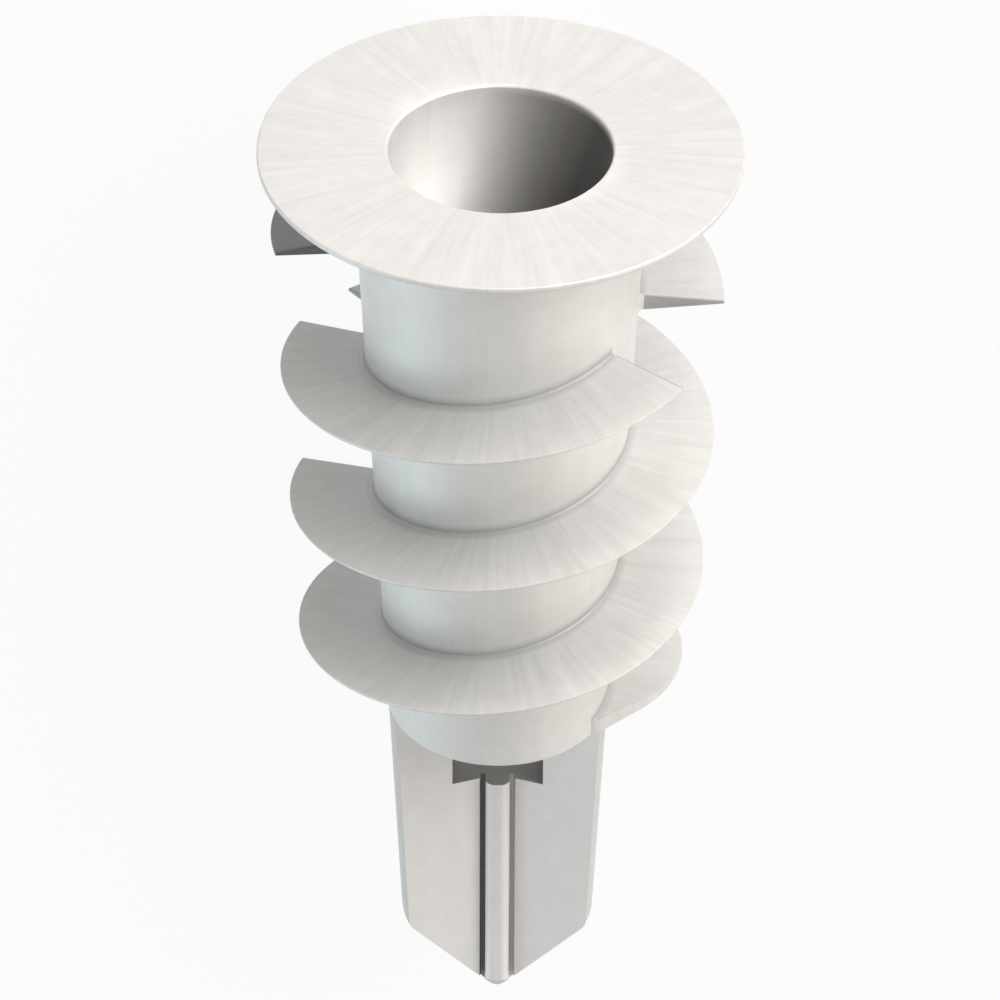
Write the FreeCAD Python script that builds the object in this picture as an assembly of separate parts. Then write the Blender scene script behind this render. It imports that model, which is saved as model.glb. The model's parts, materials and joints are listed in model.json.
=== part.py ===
import FreeCAD, Part
import math
import os
from FreeCAD import Vector

# Self-drilling drywall anchor, one zinc casting, in millimetres.
# It is made upright on its own axis, flange face at zero and drill point below,
# and is laid on its side at the end.

# Flange
flange_radius = 7.02
flange_rim = 0.18             # thickness of the edge
flange_root = 0.85            # thickness where it meets the barrel
flange_fillet = 0.6           # under the flange, against the barrel

# Barrel, a cone that narrows towards the point
barrel_length = 20.3
barrel_top_radius = 4.31
barrel_end_radius = 3.36

# Way in for the screw
entry_radius = 3.24
entry_depth = 8.0
entry_chamfer = 0.08
shoulder_angle = 30.0         # of the shoulder to the flange face
pilot_radius = 1.55
window_height = 2.93          # from the end of the barrel to the floor of the pilot bore
recess_width = 1.3            # one arm of the cross that a driver bit turns
recess_span = 5.6             # across two opposite arms, at their top
recess_depth = 5.0
recess_taper = 5.0            # degrees that the arms' ends slope inwards
recess_turn = 45.0            # degrees between the cross and the blade

# Thread, with short breaks in it
thread_pitch = 4.775
thread_top_radius = 6.78      # crest radius at the flange face
thread_end_radius = 5.93      # crest radius at the end of the barrel
thread_crest = 0.09           # width of the crest
thread_upper_flank = 6.6      # degrees, on the side of the flange
thread_lower_flank = 3.4      # degrees, on the side of the point
thread_fillet = 0.15
thread_offset = 4.05          # crest below the end of the barrel where its angle is zero
thread_first_angle = 318.0    # degrees round the axis where it starts, before the slanting cut
thread_top_gap = 2.68         # crest below the flange face where it stops
thread_breaks = ((860.0, 882.0), (1215.3, 1237.7), (1403.9, 1438.2))
section_step = 30.0           # degrees between two sections of the thread
fillet_facets = 2             # flats in each root fillet
root_bite = 0.03              # how far the fillets run into the barrel
root_depth = 0.4              # how far the thread's root lies inside the barrel

# Slanting start of the thread, as a cut seen from above
start_line_point = (3.29, -1.62)
start_line_angle = 30.0
start_corner_radius = 2.7

# Drill point: a bow-tie blade between two flutes, with a core along its middle
tip_length = 11.87            # from the end of the barrel to the unrounded point
tip_taper = 2.6               # degrees that the blade's edges slope inwards
tip_nose_radius = 0.36
tip_corner_radius = 0.5
point_angle = 80.0            # between the two cutting edges
web_thickness = 0.4           # of the blade, where its flute faces would meet on the axis
flute_angle = 19.2            # of each flute face to the blade's middle plane
core_width = 0.76
core_thickness = 1.46
core_rounding = 0.3
groove_width = 0.15           # of the narrow groove on each side of the core
groove_web = 0.3              # metal between a groove at the front and the one behind it

# How far the parts of the casting run into each other
overlap = 0.5

axis = Vector(0, 0, 1)
barrel_slope = (barrel_top_radius - barrel_end_radius) / barrel_length
crest_slope = (thread_top_radius - thread_end_radius) / barrel_length
end_of_barrel = -barrel_length
end_of_point = end_of_barrel - tip_length
bore_floor = end_of_barrel - window_height


def barrel_radius(z):
    return barrel_top_radius + barrel_slope * z


def crest_radius(z):
    return thread_top_radius + crest_slope * z


def crest_height(angle):
    """Height of the thread's crest after it has turned this many degrees."""
    return end_of_barrel - thread_offset + thread_pitch * angle / 360.0


def crest_angle(z):
    """Degrees that the thread has turned when its crest is at this height."""
    return (z - end_of_barrel + thread_offset) * 360.0 / thread_pitch


def direction_at(angle):
    """Level unit vector at this many degrees from the X axis."""
    return Vector(math.cos(math.radians(angle)), math.sin(math.radians(angle)), 0)


def round_corner(before, corner, after, radius):
    """Arc that rounds a corner of an outline, with its two ends."""
    back = (before - corner).normalize()
    ahead = (after - corner).normalize()
    half = back.getAngle(ahead) / 2
    inward = (back + ahead).normalize()
    start = corner + back * (radius / math.tan(half))
    end = corner + ahead * (radius / math.tan(half))
    middle = corner + inward * (radius / math.sin(half) - radius)
    return start, middle, end


def outline_wire(corners):
    """Closed wire through corners, each a point and the radius that rounds it, or zero."""
    edges = []
    count = len(corners)
    arcs = []
    for i, (point, radius) in enumerate(corners):
        before = corners[i - 1][0]
        after = corners[(i + 1) % count][0]
        arcs.append(round_corner(before, point, after, radius) if radius else (point, None, point))
    for i, (start, middle, end) in enumerate(arcs):
        if middle:
            edges.append(Part.Arc(start, middle, end).toShape())
        edges.append(Part.LineSegment(end, arcs[(i + 1) % count][0]).toShape())
    return Part.Wire(edges)


def revolve(corners):
    """Solid of revolution from corners given as radius, height and rounding."""
    points = [(Vector(radius, 0, z), rounding) for radius, z, rounding in corners]
    return Part.Face(outline_wire(points)).revolve(Vector(), axis, 360)


def prism(corners, length):
    """Upright prism from corners given as a point and its rounding."""
    return Part.Face(outline_wire(corners)).extrude(axis * length)


def flange_and_barrel():
    return revolve([
        (0, 0, 0),
        (flange_radius, 0, 0),
        (flange_radius, -flange_rim, 0),
        (barrel_radius(-flange_root), -flange_root, flange_fillet),
        (barrel_end_radius, end_of_barrel, 0),
        (0, end_of_barrel, 0),
    ])


def thread_side(side, root, crest, z):
    """Points of one side of the thread's section, from its crest to inside the barrel.

    side is 1 towards the flange and -1 towards the point.
    """
    flank = math.radians(thread_upper_flank if side > 0 else thread_lower_flank)
    centre_radius = root - root_bite + thread_fillet
    rise = thread_crest / 2 + math.tan(flank) * (crest - centre_radius) + thread_fillet / math.cos(flank)
    centre = Vector(centre_radius, 0, z + side * rise)
    points = [Vector(crest, 0, z + side * thread_crest / 2)]
    for i in range(fillet_facets + 1):
        turn = flank + (math.pi / 2 - flank) * i / fillet_facets
        points.append(centre - Vector(math.sin(turn), 0, side * math.cos(turn)) * thread_fillet)
    points.append(Vector(root - root_depth, 0, points[-1].z))
    return points


def thread_section(angle):
    """Closed section of the thread in the plane through the axis at this angle."""
    z = crest_height(angle)
    upper = thread_side(1, barrel_radius(z), crest_radius(z), z)
    lower = thread_side(-1, barrel_radius(z), crest_radius(z), z)
    section = Part.makePolygon(upper[::-1] + lower + upper[-1:])
    section.rotate(Vector(), axis, angle)
    return section


def thread_segment(first, last):
    """Loft of the sections between two angles, with flat ends in planes through the axis."""
    count = math.ceil((last - first) / section_step)
    step = (last - first) / count
    sections = [thread_section(first + step * i) for i in range(count + 1)]
    return Part.makeLoft(sections, True, False)


def thread_spans():
    """First and last angle of each stretch of the thread, between its start, its breaks and its end."""
    spans = []
    first = thread_first_angle
    thread_last_angle = crest_angle(-thread_top_gap)
    for stop, restart in thread_breaks:
        if restart < thread_last_angle:
            spans.append((first, stop))
            first = restart
    spans.append((first, thread_last_angle))
    return spans


def start_cutter():
    """Prism that takes the thread's first end off along a line, and rounds it into the crest."""
    direction = direction_at(start_line_angle)
    inward = axis.cross(direction)
    foot = Vector(start_line_point[0], start_line_point[1], 0)
    crest = crest_radius(end_of_barrel)
    base = foot + inward * start_corner_radius
    reach = base.dot(direction)
    along = math.sqrt(reach ** 2 - base.dot(base) + (crest - start_corner_radius) ** 2) - reach
    centre = base + direction * along
    crest_side = Vector(centre).normalize()
    line_end = centre - inward * start_corner_radius
    crest_end = centre + crest_side * start_corner_radius
    middle = centre + (crest_side - inward).normalize() * start_corner_radius
    line_start = foot - direction * barrel_end_radius
    outside = 2 * flange_radius
    corners = [
        crest_end,
        Vector(outside, crest_end.y, 0),
        Vector(outside, -outside, 0),
        Vector(line_start.x, -outside, 0),
        line_start,
        line_end,
    ]
    edges = [Part.LineSegment(a, b).toShape() for a, b in zip(corners, corners[1:])]
    edges.append(Part.Arc(line_end, middle, crest_end).toShape())
    face = Part.Face(Part.Wire(edges))
    face.translate(axis * (end_of_barrel - thread_pitch / 4))
    return face.extrude(axis * (thread_pitch / 2))


def thread():
    """Every stretch of the thread, the lowest with its slanting start and flush with the barrel's end."""
    segments = [thread_segment(first, last) for first, last in thread_spans()]
    below = Part.makeCylinder(flange_radius, thread_pitch, axis * (end_of_barrel - thread_pitch))
    segments[0] = segments[0].cut([start_cutter(), below])
    return segments


def point_envelope():
    """Round body that the drill point is cut from: a slow taper, then the point with its nose."""
    half_point = math.radians(point_angle / 2)
    narrowing = math.tan(math.radians(tip_taper))
    corner_radius = (barrel_end_radius - tip_length * narrowing) / (1 - narrowing / math.tan(half_point))
    corner_height = end_of_point + corner_radius / math.tan(half_point)
    body = revolve([
        (0, end_of_barrel + overlap, 0),
        (barrel_end_radius - overlap, end_of_barrel + overlap, 0),
        (barrel_end_radius - overlap, end_of_barrel, 0),
        (barrel_end_radius, end_of_barrel, 0),
        (corner_radius, corner_height, tip_corner_radius),
        (0, end_of_point, 0),
    ])
    nose_height = end_of_point + tip_nose_radius / math.sin(half_point)
    nose_edge = nose_height - tip_nose_radius * math.sin(half_point)
    blank = Part.makeCylinder(flange_radius, nose_edge - end_of_point, axis * end_of_point)
    nose = Part.makeSphere(tip_nose_radius, axis * nose_height)
    return body.cut(blank).fuse(nose)


def drill_point():
    """Blade that thins towards the axis, with its core and the grooves beside it, inside its envelope."""
    half_core = core_width / 2
    groove_side = half_core + groove_width
    slope = math.tan(math.radians(flute_angle))
    half_outline = [
        (flange_radius, web_thickness / 2 + slope * flange_radius, 0),
        (groove_side, web_thickness / 2 + slope * groove_side, 0),
        (groove_side, groove_web / 2, 0),
        (half_core, groove_web / 2, 0),
        (half_core, core_thickness / 2, core_rounding),
    ]
    front = half_outline + [(-x, y, rounding) for x, y, rounding in half_outline[::-1]]
    outline = front + [(-x, -y, rounding) for x, y, rounding in front]
    base = end_of_point - overlap
    blade = prism([(Vector(x, y, base), rounding) for x, y, rounding in outline], tip_length + 2 * overlap)
    return blade.common(point_envelope())


def recess_arms(turn):
    """Two opposite arms of the cross recess, narrower at their lower end."""
    half_span = recess_span / 2
    narrowing = recess_depth * math.tan(math.radians(recess_taper))
    side = -recess_width / 2
    bottom = -entry_depth - recess_depth
    corners = [
        Vector(-half_span, side, -entry_depth),
        Vector(half_span, side, -entry_depth),
        Vector(half_span - narrowing, side, bottom),
        Vector(narrowing - half_span, side, bottom),
        Vector(-half_span, side, -entry_depth),
    ]
    arms = Part.Face(Part.makePolygon(corners)).extrude(Vector(0, recess_width, 0))
    arms.rotate(Vector(), axis, turn)
    return arms


def screw_way():
    """Entry bore, its shoulder, the cross recess and the pilot bore, as one cutter."""
    mouth = entry_radius + entry_chamfer
    shoulder_end = -entry_depth - (entry_radius - pilot_radius) * math.tan(math.radians(shoulder_angle))
    bores = revolve([
        (0, overlap, 0),
        (mouth, overlap, 0),
        (mouth, 0, 0),
        (entry_radius, -entry_chamfer, 0),
        (entry_radius, -entry_depth, 0),
        (pilot_radius, shoulder_end, 0),
        (pilot_radius, bore_floor, 0),
        (0, bore_floor, 0),
    ])
    return bores.fuse([recess_arms(recess_turn), recess_arms(recess_turn + 90)])


def lay_down(solid):
    """Lay the anchor on its side, on the rim of its flange and the crest of its lowest turn."""
    resting_angle = 90 + 360 * math.ceil((thread_first_angle - 90) / 360)
    resting_height = crest_height(resting_angle)
    drop = flange_radius - crest_radius(resting_height)
    span = -resting_height + thread_crest / 2 - flange_rim
    tilt = math.degrees(math.atan2(drop, span))
    solid.rotate(Vector(), Vector(1, 0, 0), -90 + tilt)
    box = solid.optimalBoundingBox(False, False)
    solid.translate(Vector(-box.Center.x, -box.Center.y, -box.ZMin))
    return solid


def anchor():
    casting = flange_and_barrel().fuse([drill_point()] + thread())
    return lay_down(casting.cut(screw_way()).removeSplitter())


os.makedirs("parts", exist_ok=True)
anchor_body = anchor()
anchor_body.exportStep("parts/anchor_body.step")
print("anchor_body", len(anchor_body.Solids), "solid", "valid" if anchor_body.isValid() else "not valid")
print("volume", round(anchor_body.Volume, 2))
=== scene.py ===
import json
import math

import bmesh
import bpy
from mathutils import Matrix, Vector


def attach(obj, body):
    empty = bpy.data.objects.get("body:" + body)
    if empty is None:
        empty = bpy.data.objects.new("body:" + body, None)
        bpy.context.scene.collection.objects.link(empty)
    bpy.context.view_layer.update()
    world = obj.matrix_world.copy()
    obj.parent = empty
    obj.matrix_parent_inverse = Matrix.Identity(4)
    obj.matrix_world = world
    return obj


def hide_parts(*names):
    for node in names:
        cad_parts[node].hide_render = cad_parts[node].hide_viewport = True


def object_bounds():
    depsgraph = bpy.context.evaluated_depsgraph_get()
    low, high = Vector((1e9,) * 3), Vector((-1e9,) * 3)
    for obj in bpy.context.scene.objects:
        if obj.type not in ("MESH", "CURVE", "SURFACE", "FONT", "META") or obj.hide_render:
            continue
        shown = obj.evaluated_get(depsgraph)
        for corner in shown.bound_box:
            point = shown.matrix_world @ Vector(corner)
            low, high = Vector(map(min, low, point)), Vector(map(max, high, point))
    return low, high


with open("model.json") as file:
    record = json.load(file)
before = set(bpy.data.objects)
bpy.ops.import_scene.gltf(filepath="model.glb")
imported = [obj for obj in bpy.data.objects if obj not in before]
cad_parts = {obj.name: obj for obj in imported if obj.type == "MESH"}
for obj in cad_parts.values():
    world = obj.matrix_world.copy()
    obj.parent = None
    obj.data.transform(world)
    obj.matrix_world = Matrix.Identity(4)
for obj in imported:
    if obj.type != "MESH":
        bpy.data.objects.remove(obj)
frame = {"record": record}
cad_low, cad_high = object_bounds()

# The anchor is one zinc casting. It is shaped upright on its own axis, in millimetres, with the flange
# face at height zero and the drill point below, and then placed where the frame has it.

MM = 0.001
mounts = {mount["name"]: mount for mount in frame["record"]["mounts"]}
along = Vector(mounts["flange_face"]["axis"]).normalized()
on_axis = Vector(mounts["screw_entry"]["pos_m"])
face_centre = on_axis + along * (Vector(mounts["flange_face"]["pos_m"]) - on_axis).dot(along)
sideways = Vector((1, 0, 0))
turned_to_frame = Matrix((sideways, along.cross(sideways), along)).transposed()
placement = Matrix.Translation(face_centre) @ turned_to_frame.to_4x4() @ Matrix.Scale(MM, 4)

# Flange
flange_radius = (cad_high.x - cad_low.x) / 2 / MM
flange_rim = 0.18
flange_root = 0.85
flange_fillet = 0.6
rim_rounding = 0.06

# Barrel
barrel_length = 20.3
barrel_top_radius = 4.31
barrel_end_radius = 3.36
barrel_end_rounding = 0.06

# Way in for the screw
entry_radius = mounts["screw_entry"]["dims"]["r_mm"]
entry_depth = 8.0
mouth_rounding = 0.1
shoulder_angle = math.radians(30.0)
pilot_radius = mounts["pilot_bore"]["dims"]["r_mm"]
window_height = 2.93
recess_width = 1.3
recess_span = 5.6
recess_depth = 5.0
recess_taper = math.radians(5.0)
recess_turn = math.radians(45.0)

# Thread
thread_pitch = 4.775
thread_top_radius = 6.78
thread_end_radius = 5.93
thread_crest = 0.09
thread_upper_flank = math.radians(6.6)
thread_lower_flank = math.radians(3.4)
thread_fillet = 0.15
thread_offset = 4.05
thread_first_angle = 318.0
thread_top_gap = 2.68
thread_breaks = ((860.0, 882.0), (1215.3, 1237.7), (1403.9, 1438.2))
root_bite = 0.006
root_depth = 0.4
ring_step = 2.5
thread_edge = 0.025

# Slanting start of the thread
start_line_point = Vector((3.29, -1.62))
start_line_angle = math.radians(30.0)
start_corner_radius = 2.7

# Drill point
tip_length = 11.87
tip_taper = math.radians(2.6)
tip_nose_radius = 0.36
tip_corner_radius = 0.5
point_angle = math.radians(80.0)
web_thickness = 0.4
flute_angle = math.radians(19.2)
core_width = 0.76
core_thickness = 1.46
core_rounding = 0.3
groove_width = 0.15
groove_web = 0.3
back_groove_web = 0.52
groove_rounding = 0.04

# Metal
zinc_grey = (0.72, 0.705, 0.68, 1)
zinc_pale = (0.88, 0.87, 0.85, 1)
painted_shade_colour = (0, 0, 0, 1)
metal_share = 0.2
roughness = 0.5
roughness_change = 0.1
relief_strength = 0.12
relief_height = 0.02

# Streaks and grain in its tone, and the share of the streaks that the barrel and the drill point show
noise_roughness = 0.6
broad_tone = 0.3
fine_tone = 1.1
hair_tone = 0.5
grain_tone = 0.65
middle_tone = 0.5
streak_relief = 0.5
grain_relief = 0.6
streak_rise = 0.4
barrel_streaks = 0.3
barrel_paleness = 0.5

# Painted shade in the thread's colour: at its roots, on its end faces, on its left side and under the
# flange, where left is as the camera sees it
start_leaves_barrel = 326.0
shade_fade_angle = 0.8
root_half_width = 0.27
root_shade_width = 0.36
root_shade_strength = 0.4
end_shade_strength = 0.45
left_shade_power = 3.0
left_shade_strength = 0.24
flange_shade_depth = 4.4
flange_shade_fade = 1.4
flange_shade_lean = 0.75
flange_shade_strength = 0.55

# Painted shade in the colour of the bore, the window and the drill point
shade_margin = 0.01
bore_shade_from = -0.5
bore_shade_width = 3.4
bore_shade_lean = 0.22
bore_shade_depth = 0.3
bore_shade_strength = 0.92
window_shade_strength = 0.6
groove_shade_strength = 0.42
groove_shade_difference = 0.24
rim_shade_strength = 0.22

# Lamps and background
lamp_distance = 300.0
lamp_width = 160.0
narrow_lamp_width = 80.0
bore_lamp_distance = 50.0
bore_lamp_radius = 1.5
bore_lamp_aim = Vector((-0.1, 0.35, -0.5))
bore_beam_radius = 2.15
bore_beam_softness = 0.6
stray_light = 0.02
floor_width = 1000.0
floor_colour = (0.9, 0.9, 0.9, 1)
floor_whiteness = 0.93
white = (1, 1, 1, 1)

# How far pieces reach into each other before they are joined, and how finely round shapes are drawn
overlap = 0.5
turn_steps = 240
arc_steps = 8
start_steps = 32
thread_edge_steps = 2
blunted_edge_angle = math.radians(60)
smooth_edge_angle = math.radians(28)
weld_distance = 1e-4

barrel_slope = (barrel_top_radius - barrel_end_radius) / barrel_length
crest_slope = (thread_top_radius - thread_end_radius) / barrel_length
end_of_barrel = -barrel_length
end_of_point = end_of_barrel - tip_length
bore_floor = end_of_barrel - window_height
crest_at_zero = end_of_barrel - thread_offset
outside = 2 * flange_radius


class Socket:
    """A node's output. Python's operators on it add Math nodes."""

    def __init__(self, tree, socket):
        self.tree = tree
        self.socket = socket

    def math(self, operation, *values):
        inputs = {i: value for i, value in enumerate((self,) + values)}
        return self.tree.add("ShaderNodeMath", {"operation": operation}, inputs)

    def __add__(self, other):
        return self.math("ADD", other)

    __radd__ = __add__

    def __sub__(self, other):
        return self.math("SUBTRACT", other)

    def __rsub__(self, other):
        return self.tree.add("ShaderNodeMath", {"operation": "SUBTRACT"}, {0: other, 1: self})

    def __mul__(self, other):
        return self.math("MULTIPLY", other)

    __rmul__ = __mul__

    def __truediv__(self, other):
        return self.math("DIVIDE", other)

    def __neg__(self):
        return self * -1.0

    def below(self, limit):
        """One where the value is less than the limit, and zero elsewhere."""
        return self.math("LESS_THAN", limit)

    def above(self, limit):
        """One where the value is greater than the limit, and zero elsewhere."""
        return self.math("GREATER_THAN", limit)

    def clamped(self):
        """The value, held between zero and one."""
        return self.tree.add("ShaderNodeClamp", {}, {"Value": self})

    def parts(self):
        """The three parts of a vector."""
        node = self.tree.new("ShaderNodeSeparateXYZ", {}, {"Vector": self})
        return [Socket(self.tree, output) for output in node.outputs]


class Tree:
    """A node tree that is written as expressions."""

    def __init__(self, tree):
        self.tree = tree

    def new(self, kind, settings, inputs):
        """A node of this kind, with its settings made first and then its inputs set or linked."""
        node = self.tree.nodes.new(kind)
        for name, value in settings.items():
            setattr(node, name, value)
        for key, value in inputs.items():
            if isinstance(value, Socket):
                self.tree.links.new(value.socket, node.inputs[key])
            else:
                node.inputs[key].default_value = value
        return node

    def add(self, kind, settings, inputs, output=0):
        return Socket(self, self.new(kind, settings, inputs).outputs[output])

    def vector(self, x, y, z):
        return self.add("ShaderNodeCombineXYZ", {}, {"X": x, "Y": y, "Z": z})

    def mixed(self, factor, first, second):
        """First colour where the factor is zero and second where it is one."""
        settings = {"data_type": "RGBA"}
        return self.add("ShaderNodeMix", settings, {0: factor, 6: first, 7: second}, 2)


def arc(centre, start, end, radius, steps=arc_steps):
    """Points on the shorter arc between two directions from its centre."""
    return [centre + start.slerp(end, step / steps) * radius for step in range(steps + 1)]


def rounded(corners):
    """Outline through corners given as two coordinates and a rounding, with arcs as short steps."""
    points = []
    for i, (x, y, radius) in enumerate(corners):
        corner = Vector((x, y))
        if not radius:
            points.append(corner)
            continue
        back = (Vector(corners[i - 1][:2]) - corner).normalized()
        ahead = (Vector(corners[(i + 1) % len(corners)][:2]) - corner).normalized()
        half = back.angle(ahead) / 2
        centre = corner + (back + ahead).normalized() * radius / math.sin(half)
        start = corner + back * radius / math.tan(half) - centre
        end = corner + ahead * radius / math.tan(half) - centre
        points += arc(centre, start.normalized(), end.normalized(), radius)
    return points


def new_object(name, bm):
    """Object with this mesh, its faces pointing outwards."""
    bmesh.ops.recalc_face_normals(bm, faces=bm.faces)
    mesh = bpy.data.meshes.new(name)
    bm.to_mesh(mesh)
    bm.free()
    piece = bpy.data.objects.new(name, mesh)
    bpy.context.scene.collection.objects.link(piece)
    return piece


def revolve(name, outline):
    """Closed solid of revolution from points given as radius and height, the ends on the axis."""
    bm = bmesh.new()
    rings = []
    for radius, height in outline:
        count = turn_steps if radius > 0 else 1
        angles = [2 * math.pi * i / turn_steps for i in range(count)]
        rings.append([bm.verts.new((radius * math.cos(a), radius * math.sin(a), height)) for a in angles])
    for ring, following in zip(rings, rings[1:]):
        for i in range(turn_steps):
            corners = [ring[i % len(ring)], ring[(i + 1) % len(ring)]]
            corners += [following[(i + 1) % len(following)], following[i % len(following)]]
            bm.faces.new(list(dict.fromkeys(corners)))
    return new_object(name, bm)


def prism(name, outline, bottom, top):
    """Upright prism on a closed outline seen from above."""
    bm = bmesh.new()
    base = bm.faces.new([bm.verts.new((x, y, bottom)) for x, y in outline])
    raised = bmesh.ops.extrude_face_region(bm, geom=[base])["geom"]
    corners = [item for item in raised if isinstance(item, bmesh.types.BMVert)]
    bmesh.ops.translate(bm, vec=(0, 0, top - bottom), verts=corners)
    return new_object(name, bm)


def remove(piece):
    mesh = piece.data
    bpy.data.objects.remove(piece)
    bpy.data.meshes.remove(mesh)


def applied(piece):
    """The piece with its modifiers turned into plain mesh."""
    shown = piece.evaluated_get(bpy.context.evaluated_depsgraph_get())
    mesh = bpy.data.meshes.new_from_object(shown)
    before = piece.data
    piece.modifiers.clear()
    piece.data = mesh
    bpy.data.meshes.remove(before)
    return piece


def combine(piece, other, operation):
    """Join, cut or intersect the piece with another, which is used up."""
    modifier = piece.modifiers.new("combine", "BOOLEAN")
    modifier.operation = operation
    modifier.solver = "EXACT"
    modifier.object = other
    applied(piece)
    remove(other)
    return piece


def flange_and_barrel():
    outline = rounded([
        (0, 0, 0),
        (flange_radius, 0, rim_rounding),
        (flange_radius, -flange_rim, rim_rounding),
        (barrel_top_radius - barrel_slope * flange_root, -flange_root, flange_fillet),
        (barrel_end_radius, end_of_barrel, barrel_end_rounding),
        (0, end_of_barrel, 0),
    ])
    return revolve("barrel", outline)


def thread_profile():
    """Section of the thread, out from the barrel's wall and up from the crest's middle."""
    height = thread_end_radius - barrel_end_radius
    centre = thread_fillet - root_bite
    sides = {}
    for side, flank in ((1, thread_upper_flank), (-1, thread_lower_flank)):
        rise = thread_crest / 2 + math.tan(flank) * (height - centre) + thread_fillet / math.cos(flank)
        points = []
        for out in (height, (height + centre) / 2):
            points.append((out, side * (thread_crest / 2 + math.tan(flank) * (height - out))))
        for step in range(arc_steps + 1):
            turn = flank + (math.pi / 2 - flank) * step / arc_steps
            points.append((centre - math.sin(turn) * thread_fillet,
                           side * (rise - math.cos(turn) * thread_fillet)))
        points.append((-root_depth, points[-1][1]))
        sides[side] = points
    bm = bmesh.new()
    loop = [bm.verts.new((x, y, 0)) for x, y in sides[1][::-1] + sides[-1]]
    for i, vertex in enumerate(loop):
        bm.edges.new((vertex, loop[(i + 1) % len(loop)]))
    return new_object("thread_profile", bm)


def thread_tree():
    """Nodes that sweep the profile along a straight line and then wind it round the tapered barrel."""
    group = bpy.data.node_groups.new("thread_stretch", "GeometryNodeTree")
    group.interface.new_socket("Mesh", in_out="OUTPUT", socket_type="NodeSocketGeometry")
    floats = ("First angle", "Last angle", "Pitch", "Crest at zero", "Barrel radius", "Barrel slope",
              "Crest radius", "Crest slope", "Section height")
    for name in floats:
        group.interface.new_socket(name, in_out="INPUT", socket_type="NodeSocketFloat")
    group.interface.new_socket("Rings", in_out="INPUT", socket_type="NodeSocketInt")
    group.interface.new_socket("Profile", in_out="INPUT", socket_type="NodeSocketObject")
    group.interface.new_socket("Finish", in_out="INPUT", socket_type="NodeSocketMaterial")

    tree = Tree(group)
    given = {socket.name: Socket(tree, socket) for socket in group.nodes.new("NodeGroupInput").outputs}
    line = tree.add("GeometryNodeCurvePrimitiveLine", {}, {"Start": (0, 0, 0), "End": (0, 1, 0)})
    line = tree.add("GeometryNodeResampleCurve", {}, {"Curve": line, "Count": given["Rings"]})
    line = tree.add("GeometryNodeSetCurveNormal", {"mode": "Z_UP"}, {"Curve": line})
    profile = tree.add("GeometryNodeObjectInfo", {}, {"Object": given["Profile"]}, "Geometry")
    profile = tree.add("GeometryNodeMeshToCurve", {}, {"Mesh": profile})
    swept = {"Curve": line, "Profile Curve": profile, "Fill Caps": True}
    swept = tree.add("GeometryNodeCurveToMesh", {}, swept)

    out, share, up = tree.add("GeometryNodeInputPosition", {}, {}).parts()
    angle = given["First angle"] + (given["Last angle"] - given["First angle"]) * share
    crest_height = given["Crest at zero"] + given["Pitch"] * angle / 360.0
    root = given["Barrel radius"] + given["Barrel slope"] * crest_height
    crest = given["Crest radius"] + given["Crest slope"] * crest_height
    radius = root + out * (crest - root) / given["Section height"]
    turn = angle * (math.pi / 180)
    place = tree.vector(radius * turn.math("COSINE"), radius * turn.math("SINE"), crest_height + up)
    wound = tree.add("GeometryNodeSetPosition", {}, {"Geometry": swept, "Position": place})
    plain = tree.add("GeometryNodeRealizeInstances", {}, {"Geometry": wound})
    finished = tree.add("GeometryNodeSetMaterial", {}, {"Geometry": plain, "Material": given["Finish"]})
    tree.new("NodeGroupOutput", {}, {"Mesh": finished})
    return group


def thread_spans():
    """First and last angle of each stretch of the thread, in degrees."""
    last = (-thread_top_gap - crest_at_zero) * 360.0 / thread_pitch
    starts = [thread_first_angle] + [restart for stop, restart in thread_breaks]
    ends = [stop for stop, restart in thread_breaks] + [last]
    return list(zip(starts, ends))


def thread_stretch(group, profile, first, last, finish):
    """One stretch of the thread as a plain mesh, its edges slightly blunted."""
    values = {
        "First angle": first,
        "Last angle": last,
        "Pitch": thread_pitch,
        "Crest at zero": crest_at_zero,
        "Barrel radius": barrel_top_radius,
        "Barrel slope": barrel_slope,
        "Crest radius": thread_top_radius,
        "Crest slope": crest_slope,
        "Section height": thread_end_radius - barrel_end_radius,
        "Rings": math.ceil((last - first) / ring_step) + 1,
        "Profile": profile,
        "Finish": finish,
    }
    piece = new_object("thread_stretch", bmesh.new())
    modifier = piece.modifiers.new("wind", "NODES")
    modifier.node_group = group
    for item in group.interface.items_tree:
        if item.name in values:
            modifier[item.identifier] = values[item.name]
    applied(piece)
    bm = bmesh.new()
    bm.from_mesh(piece.data)
    bmesh.ops.recalc_face_normals(bm, faces=bm.faces)
    bm.to_mesh(piece.data)
    bm.free()
    blunt = piece.modifiers.new("blunt", "BEVEL")
    blunt.width = thread_edge
    blunt.segments = thread_edge_steps
    blunt.limit_method = "ANGLE"
    blunt.angle_limit = blunted_edge_angle
    return applied(piece)


def start_cutter():
    """Prism over what the slanting start takes off the lowest stretch."""
    direction = Vector((math.cos(start_line_angle), math.sin(start_line_angle)))
    inward = Vector((-direction.y, direction.x))
    base = start_line_point + inward * start_corner_radius
    reach = base.dot(direction)
    crest = thread_end_radius
    travel = math.sqrt(reach ** 2 - base.length_squared + (crest - start_corner_radius) ** 2) - reach
    centre = base + direction * travel
    line_start = start_line_point - direction * barrel_end_radius
    outline = [line_start]
    outline += arc(centre, -inward, centre.normalized(), start_corner_radius, start_steps)
    outline += [Vector(corner) for corner in (
        (outside, outline[-1].y),
        (outside, -outside),
        (line_start.x, -outside),
    )]
    half_depth = thread_pitch / 4
    return prism("start_cutter", outline, end_of_barrel - half_depth, end_of_barrel + half_depth)


def square(half):
    """Corners of a square about the axis, from half its width."""
    return [(-half, -half), (half, -half), (half, half), (-half, half)]


def below_barrel():
    """Block under the barrel's end, which the thread stays above."""
    return prism("below_barrel", square(outside), end_of_barrel - thread_pitch, end_of_barrel + root_bite)


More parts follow.
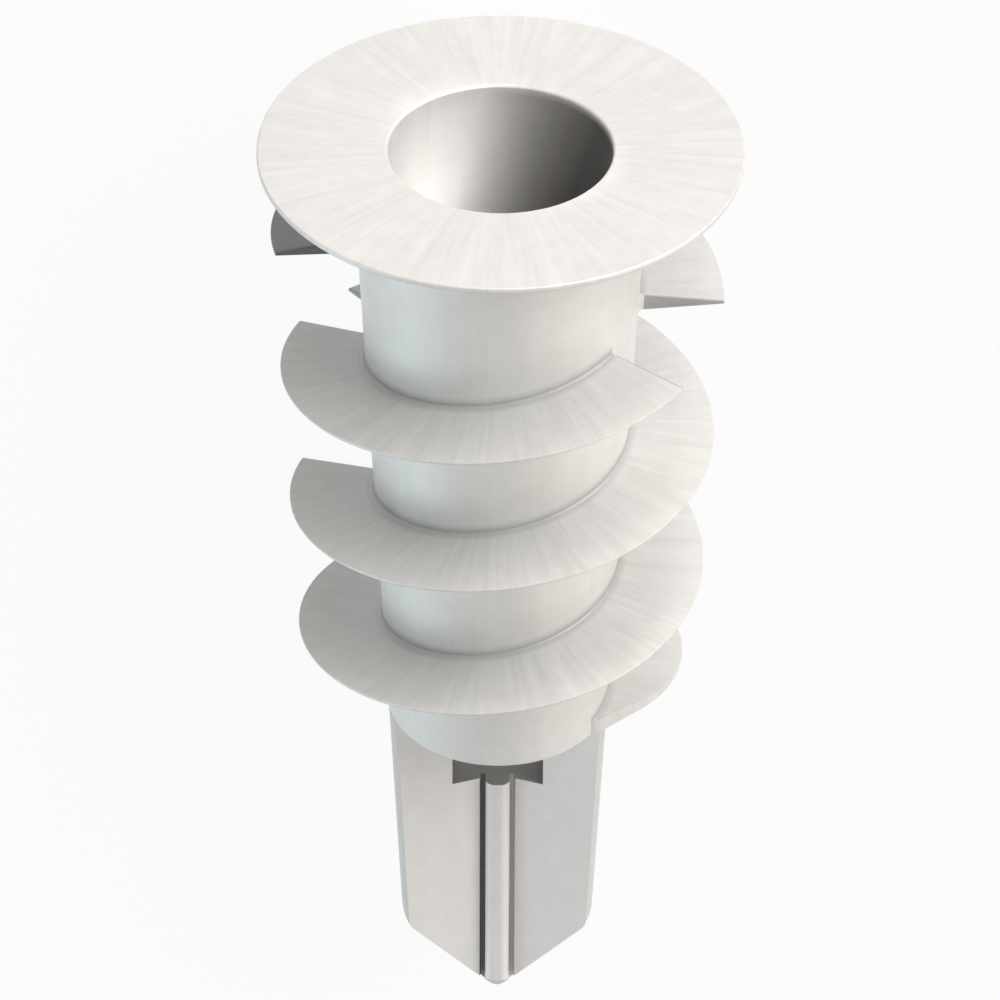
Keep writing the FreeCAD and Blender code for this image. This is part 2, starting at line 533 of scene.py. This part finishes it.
def point_envelope():
    """Round body of the drill point: a slow taper, the point's cone and its nose."""
    half_point = point_angle / 2
    narrowing = math.tan(tip_taper)
    corner_radius = (barrel_end_radius - tip_length * narrowing) / (1 - narrowing / math.tan(half_point))
    corner_height = end_of_point + corner_radius / math.tan(half_point)
    nose_centre = end_of_point + tip_nose_radius / math.sin(half_point)
    outline = rounded([
        (0, end_of_barrel + overlap, 0),
        (barrel_end_radius - overlap, end_of_barrel + overlap, 0),
        (barrel_end_radius - overlap, end_of_barrel, 0),
        (barrel_end_radius, end_of_barrel, 0),
        (corner_radius, corner_height, tip_corner_radius),
        (0, end_of_point, 0),
    ])[:-1]
    for step in range(arc_steps + 1):
        turn = (math.pi / 2 - half_point) * (1 - step / arc_steps)
        height = nose_centre - tip_nose_radius * math.cos(turn)
        outline.append(Vector((tip_nose_radius * math.sin(turn), height)))
    outline[-1].x = 0
    return revolve("point_envelope", outline)


def blade_face(groove_floor):
    """One face of the blade, which thins towards the axis, with the core and its two grooves."""
    half_core = core_width / 2
    groove_side = half_core + groove_width
    slope = math.tan(flute_angle)
    half_outline = [
        (flange_radius, web_thickness / 2 + slope * flange_radius, 0),
        (groove_side, web_thickness / 2 + slope * groove_side, groove_rounding),
        (groove_side, groove_floor, groove_rounding),
        (half_core, groove_floor, groove_rounding),
        (half_core, core_thickness / 2, core_rounding),
    ]
    return half_outline + [(-x, y, rounding) for x, y, rounding in half_outline[::-1]]


def blade():
    outline = blade_face(back_groove_web / 2)
    outline += [(-x, -y, rounding) for x, y, rounding in blade_face(groove_web / 2)]
    piece = prism("blade", rounded(outline), end_of_point - overlap, end_of_barrel + 2 * overlap)
    return combine(piece, point_envelope(), "INTERSECT")


def screw_bores():
    """Entry bore with its rounded mouth, shoulder and pilot bore, as one cutter."""
    mouth = entry_radius + mouth_rounding
    shoulder_end = -entry_depth - (entry_radius - pilot_radius) * math.tan(shoulder_angle)
    outline = [Vector((0, overlap)), Vector((mouth, overlap))]
    outline += arc(Vector((mouth, -mouth_rounding)), Vector((0, 1)), Vector((-1, 0)), mouth_rounding)
    outline += [Vector(corner) for corner in (
        (entry_radius, -entry_depth),
        (pilot_radius, shoulder_end),
        (pilot_radius, bore_floor),
        (0, bore_floor),
    )]
    return revolve("screw_bores", outline)


def recess_arms(turn):
    """Two opposite arms of the cross recess, narrower at their lower end."""
    half_span = recess_span / 2
    narrowing = recess_depth * math.tan(recess_taper)
    arms = prism("recess_arms", [
        (-half_span, -entry_depth),
        (half_span, -entry_depth),
        (half_span - narrowing, -entry_depth - recess_depth),
        (narrowing - half_span, -entry_depth - recess_depth),
    ], -recess_width / 2, recess_width / 2)
    arms.data.transform(Matrix.Rotation(turn, 4, "Z") @ Matrix.Rotation(math.pi / 2, 4, "X"))
    return arms


def casting(finish):
    """The whole anchor as one closed mesh, in its place in the frame."""
    piece = flange_and_barrel()
    group = thread_tree()
    profile = thread_profile()
    for i, (first, last) in enumerate(thread_spans()):
        stretch = thread_stretch(group, profile, first, last, finish)
        if i == 0:
            combine(stretch, start_cutter(), "DIFFERENCE")
            combine(stretch, below_barrel(), "DIFFERENCE")
        combine(piece, stretch, "UNION")
    remove(profile)
    combine(piece, blade(), "UNION")
    combine(piece, screw_bores(), "DIFFERENCE")
    for turn in (recess_turn, recess_turn + math.pi / 2):
        combine(piece, recess_arms(turn), "DIFFERENCE")

    bm = bmesh.new()
    bm.from_mesh(piece.data)
    bmesh.ops.remove_doubles(bm, verts=bm.verts, dist=weld_distance)
    bmesh.ops.dissolve_degenerate(bm, edges=bm.edges, dist=weld_distance)
    bmesh.ops.recalc_face_normals(bm, faces=bm.faces)
    bm.to_mesh(piece.data)
    bm.free()
    piece.data.transform(placement)
    piece.data.materials.clear()
    piece.data.materials.append(finish)
    piece.data.shade_smooth()
    piece.data.set_sharp_from_angle(angle=smooth_edge_angle)
    piece.name = "zinc_casting"
    return piece


def emptied_tree(owner):
    """Node tree of a new material or world, with nothing in it."""
    owner.use_nodes = True
    owner.node_tree.nodes.clear()
    return Tree(owner.node_tree)


def in_anchor_millimetres(tree):
    """Object coordinates turned and scaled to the anchor's own axis, in millimetres."""
    back = placement.inverted()
    return tree.add("ShaderNodeMapping", {"vector_type": "POINT"}, {
        "Vector": tree.add("ShaderNodeTexCoord", {}, {}, "Object"),
        "Location": back.to_translation(),
        "Rotation": back.to_euler(),
        "Scale": back.to_scale(),
    })


class Spot:
    """Where a point of the surface lies, on the anchor's own axes and in millimetres."""

    def __init__(self, tree):
        self.point = in_anchor_millimetres(tree)
        self.x, self.y, self.z = self.point.parts()
        self.radius = (self.x * self.x + self.y * self.y).math("SQRT")
        self.out = self.radius - (self.z * barrel_slope + barrel_top_radius)
        self.in_bore = self.out.below(-overlap) * self.z.above(end_of_barrel)


def beside_thread(spot):
    """Distance along the axis from the nearest turn's middle, and one where that turn has its thread."""
    turn = spot.y.math("ARCTAN2", spot.x) / (2 * math.pi)
    turns = (spot.z - crest_at_zero) / thread_pitch - turn
    whole_turns = (turns + 0.5).math("FLOOR")
    degrees = (whole_turns + turn) * 360.0

    def within(first, last):
        after_start = (degrees - max(first, start_leaves_barrel)) / shade_fade_angle
        before_end = (last - degrees) / shade_fade_angle
        return after_start.clamped() * before_end.clamped()

    distance = ((turns - whole_turns) * thread_pitch).math("ABSOLUTE")
    return distance, sum(within(first, last) for first, last in thread_spans())


def thread_painted_shading(spot):
    """Share of the colour that painted shade leaves at the thread's roots, on its end faces and left side,
    and under the flange.
    """
    distance, threaded = beside_thread(spot)
    # Painted shade: barrel and thread darker next to the thread's roots, where they meet in a corner.
    past_root = (distance - root_half_width).math("MAXIMUM", 0.0)
    from_root = (spot.out * spot.out + past_root * past_root).math("SQRT")
    near_root = (1.0 - from_root / root_shade_width).clamped()
    root_shade = near_root * near_root * threaded * root_shade_strength

    on_thread = spot.out.above(thread_fillet) * spot.z.below(-flange_root)
    # Painted shade: the thread's end faces darker, where its stretches stop.
    end_shade = (1.0 - threaded) * on_thread * end_shade_strength
    # Painted shade: the thread darker on its left side, as if light came only from the right.
    leftness = (0.5 - spot.x / (2 * thread_top_radius)).clamped()
    left_shade = leftness.math("POWER", left_shade_power) * on_thread * left_shade_strength
    # Painted shadow: the thread just under the flange darker, most on the left side.
    near_flange = ((spot.z + flange_shade_depth) / flange_shade_fade).clamped()
    leaning = leftness * flange_shade_lean + (1 - flange_shade_lean)
    flange_shade = near_flange * on_thread * leaning * flange_shade_strength
    return (1.0 - root_shade) * (1.0 - end_shade) * (1.0 - left_shade) * (1.0 - flange_shade)


def bore_painted_shading(spot):
    """Share of the colour that painted shade leaves in the bore, which is darker on its right, and in the
    window.
    """
    # Painted shade: the bore's wall darker on its right and below the mouth.
    rightness = ((spot.x - spot.z * bore_shade_lean - bore_shade_from) / bore_shade_width).clamped()
    below_mouth = (-spot.z / bore_shade_depth).clamped()
    bore_shade = below_mouth * spot.in_bore * rightness * bore_shade_strength
    # Painted shade: the inside of the window below the barrel darkened.
    beside_window = spot.z.below(end_of_barrel) * spot.z.above(bore_floor - shade_margin)
    in_window = beside_window * spot.radius.below(pilot_radius + shade_margin)
    return (1.0 - bore_shade) * (1.0 - in_window * window_shade_strength)


def point_painted_shading(spot):
    """Share of the colour that painted shade leaves in the grooves beside the core, most in the left one,
    and on the outer faces.
    """
    # Painted shade: the grooves beside the core darker, the left one more than the right.
    from_groove = (spot.x.math("ABSOLUTE") - (core_width + groove_width) / 2).math("ABSOLUTE")
    in_groove = from_groove.below(groove_width / 2 + shade_margin) * spot.z.below(bore_floor)
    groove_shade = in_groove * (groove_shade_strength - spot.x.math("SIGN") * groove_shade_difference)
    # Painted shade: the drill point's outer faces a little darker.
    taper_radius = (spot.z - end_of_barrel) * math.tan(tip_taper) + barrel_end_radius
    cone_radius = (spot.z - end_of_point) * math.tan(point_angle / 2)
    rim_radius = taper_radius.math("MINIMUM", cone_radius)
    on_rim = (spot.radius - rim_radius).above(-shade_margin) * spot.z.below(end_of_barrel)
    return (1.0 - groove_shade) * (1.0 - on_rim * rim_shade_strength)


def zinc():
    """Satin zinc die-casting, with fine streaks that run out from the axis and down the barrel, and
    painted shade darkening its colour on the thread, in the bore and on the drill point.
    """
    material = bpy.data.materials.new("zinc")
    tree = emptied_tree(material)
    spot = Spot(tree)

    def noise(place, scale, detail):
        """Soft noise, zero on average."""
        inputs = {"Vector": place, "Scale": scale, "Detail": detail, "Roughness": noise_roughness}
        return tree.add("ShaderNodeTexNoise", {"noise_dimensions": "3D"}, inputs) - 0.5

    def streaks(count, drift, detail):
        """Noise that changes fast round the axis and slowly along the radius and the height."""
        across_x = spot.x / spot.radius * count
        across_y = spot.y / spot.radius * count
        along = (spot.radius + spot.z) * drift
        return noise(tree.vector(across_x, across_y, along), scale=1.0, detail=detail)

    # Streaks are clear on the flange and the thread, and faint on the barrel and the drill point.
    on_face = spot.z.above(-flange_rim)
    clearness = (spot.out / streak_rise).clamped().math("MAXIMUM", on_face)
    clearness = clearness * (1.0 - barrel_streaks) + barrel_streaks
    broad = streaks(count=5.0, drift=0.12, detail=2.0)
    fine = streaks(count=24.0, drift=0.25, detail=3.0) * clearness
    hair = streaks(count=90.0, drift=0.6, detail=2.0) * clearness
    grain = noise(spot.point, scale=1.6, detail=5.0)
    paleness = (1.0 - clearness) * (1.0 - spot.in_bore) * barrel_paleness
    tone = broad * broad_tone + fine * fine_tone + hair * hair_tone + grain * grain_tone
    colour = tree.mixed((tone + paleness + middle_tone).clamped(), zinc_grey, zinc_pale)
    # Painted shade from the thread, the bore and the drill point darkens the colour towards black.
    painted_shading = thread_painted_shading(spot) * bore_painted_shading(spot) * point_painted_shading(spot)

    relief = fine * streak_relief + hair * streak_relief + grain * grain_relief
    shader = tree.add("ShaderNodeBsdfPrincipled", {}, {
        "Base Color": tree.mixed(painted_shading, painted_shade_colour, colour),
        "Metallic": metal_share,
        "Roughness": (fine * roughness_change + grain * roughness_change + roughness).clamped(),
        "Normal": tree.add("ShaderNodeBump", {}, {
            "Height": relief,
            "Strength": relief_strength,
            "Distance": relief_height * MM,
        }),
    })
    tree.new("ShaderNodeOutputMaterial", {}, {"Surface": shader})
    return material


def sees_background(tree):
    """One for the rays that find the white background: the camera's, and those that the metal mirrors."""
    path = tree.new("ShaderNodeLightPath", {}, {})
    kinds = ("Is Camera Ray", "Is Glossy Ray", "Is Transmission Ray")
    return sum(Socket(tree, path.outputs[kind]) for kind in kinds).clamped()


def floor():
    """Pale floor that the anchor lies on. The camera sees it near white, with the anchor's soft shadow."""
    bm = bmesh.new()
    bm.faces.new([bm.verts.new((x, y, 0)) for x, y in square(floor_width / 2 * MM)])
    piece = new_object("floor", bm)
    material = bpy.data.materials.new("floor")
    tree = emptied_tree(material)
    lit = tree.add("ShaderNodeBsdfDiffuse", {}, {"Color": floor_colour})
    background = tree.add("ShaderNodeEmission", {}, {"Color": white, "Strength": 1.0})
    share = sees_background(tree) * floor_whiteness
    shader = tree.add("ShaderNodeMixShader", {}, {0: share, 1: lit, 2: background})
    tree.new("ShaderNodeOutputMaterial", {}, {"Surface": shader})
    piece.data.materials.append(material)
    return piece


def place_lamp(data, aim, direction, distance, power, colour):
    """Stand a lamp at a distance and in a direction from what it shines at."""
    data.energy = power
    data.color = colour
    towards = Vector(direction).normalized()
    light = bpy.data.objects.new(data.name, data)
    light.location = aim + towards * distance * MM
    light.rotation_euler = (-towards).to_track_quat("-Z", "Y").to_euler()
    bpy.context.scene.collection.objects.link(light)


def soft_lamp(name, direction, power, colour, width=lamp_width):
    """Square lamp that lights the whole anchor."""
    data = bpy.data.lights.new(name, "AREA")
    data.size = width * MM
    place_lamp(data, Vector(), direction, lamp_distance, power, colour)


def bore_lamp(direction, power, colour):
    """Narrow lamp that shines into the bore."""
    data = bpy.data.lights.new("bore_lamp", "SPOT")
    data.spot_size = 2 * math.atan(bore_beam_radius / bore_lamp_distance)
    data.spot_blend = bore_beam_softness
    data.shadow_soft_size = bore_lamp_radius * MM
    place_lamp(data, placement @ bore_lamp_aim, direction, bore_lamp_distance, power, colour)


def lighting():
    """White background that gives a little stray light, and the lamps, which light the anchor."""
    world = bpy.data.worlds.new("studio")
    tree = emptied_tree(world)
    strength = sees_background(tree) * (1 - stray_light) + stray_light
    background = tree.add("ShaderNodeBackground", {}, {"Color": white, "Strength": strength})
    tree.new("ShaderNodeOutputWorld", {}, {"Surface": background})
    bpy.context.scene.world = world
    soft_lamp("key", direction=(0.75, 0.45, 0.5), power=0.25, colour=(1.0, 0.91, 0.84))
    soft_lamp("upper_front", direction=(0.35, 0.65, 0.65), power=0.092, colour=(0.85, 0.97, 1.0))
    soft_lamp("upper_right", direction=(0.5, 0.8, 0.35), power=0.313, colour=(0.94, 0.96, 1.0))
    soft_lamp("upper_low", direction=(0.2, 0.96, 0.16), power=0.043, colour=(1.0, 0.84, 0.6),
              width=narrow_lamp_width)
    soft_lamp("upper", direction=(0, 0.95, 0.3), power=0.255, colour=(1.0, 0.91, 0.88))
    soft_lamp("lower_right", direction=(0.55, -0.5, 0.65), power=0.08, colour=(1.0, 0.96, 0.95))
    soft_lamp("lower_left", direction=(-0.55, -0.5, 0.65), power=0.066, colour=(1.0, 0.83, 0.76))
    soft_lamp("cool_left", direction=(-0.9, -0.3, 0.3), power=0.338, colour=(0.76, 0.95, 1.0))
    soft_lamp("warm_right", direction=(0.9, -0.3, 0.3), power=0.173, colour=(1.0, 0.96, 0.85))
    bore_lamp(direction=(0.45, 0.77, 0.45), power=0.2, colour=(1.0, 0.97, 0.95))


def camera():
    """Camera at the photograph's angle: above the anchor, on the flange's side."""
    aim_depth = 12.72
    aim_right = 0.03
    distance = 187.87
    elevation = math.radians(37.257)
    roll = math.radians(0.283)
    data = bpy.data.cameras.new("camera")
    data.sensor_width = 36.0
    data.lens = 225.67
    data.clip_start = 0.01
    data.clip_end = 10.0
    eye = bpy.data.objects.new("camera", data)
    back = Vector((0, -math.cos(elevation), math.sin(elevation)))
    right = Vector((1, 0, 0))
    upward = back.cross(right)
    turned = Matrix((right, upward, back)).transposed() @ Matrix.Rotation(roll, 3, "Z")
    place = placement @ (Vector((aim_right, 0, -aim_depth)) + back * distance)
    eye.matrix_world = Matrix.Translation(place) @ (turned_to_frame @ turned).to_4x4()
    bpy.context.scene.collection.objects.link(eye)
    bpy.context.scene.camera = eye


camera()
lighting()
floor()

body = casting(zinc())
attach(body, "root")
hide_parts("anchor_body")

bpy.context.scene.view_settings.view_transform = "Standard"
